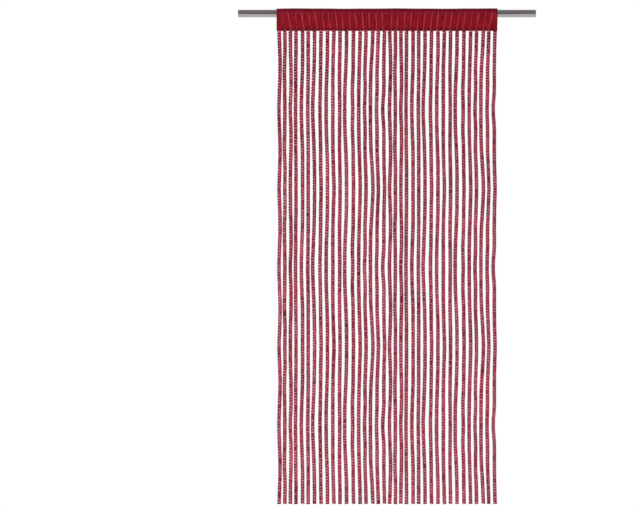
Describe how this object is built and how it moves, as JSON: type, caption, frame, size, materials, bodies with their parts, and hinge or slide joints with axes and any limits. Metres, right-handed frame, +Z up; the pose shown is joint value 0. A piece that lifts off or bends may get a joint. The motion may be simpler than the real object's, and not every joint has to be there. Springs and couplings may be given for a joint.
{
  "type": "string curtain on a rod",
  "caption": "Door-width curtain of flat crocheted strings that hang from a narrow cloth heading, folded as a sleeve over a round metal rod.",
  "frame": {"origin": "middle of the rod's axis, halfway between its ends", "axes": "+X along the rod to the right as seen from the front, the front faces -Y, +Z up"},
  "size_m": [1.205, 0.0392, 2.0074],
  "materials": {
    "rod_steel": "brushed along the rod, satin",
    "heading_cloth": "warp-knitted band with a soft sheen and pale rib lines",
    "string_yarn": "glossy crocheted polyester yarn with small flat pieces of silver film"
  },
  "bodies": {
    "root": {"rod": "rod_steel", "heading": "heading_cloth", "strings": "string_yarn"}
  },
  "joints": []
}
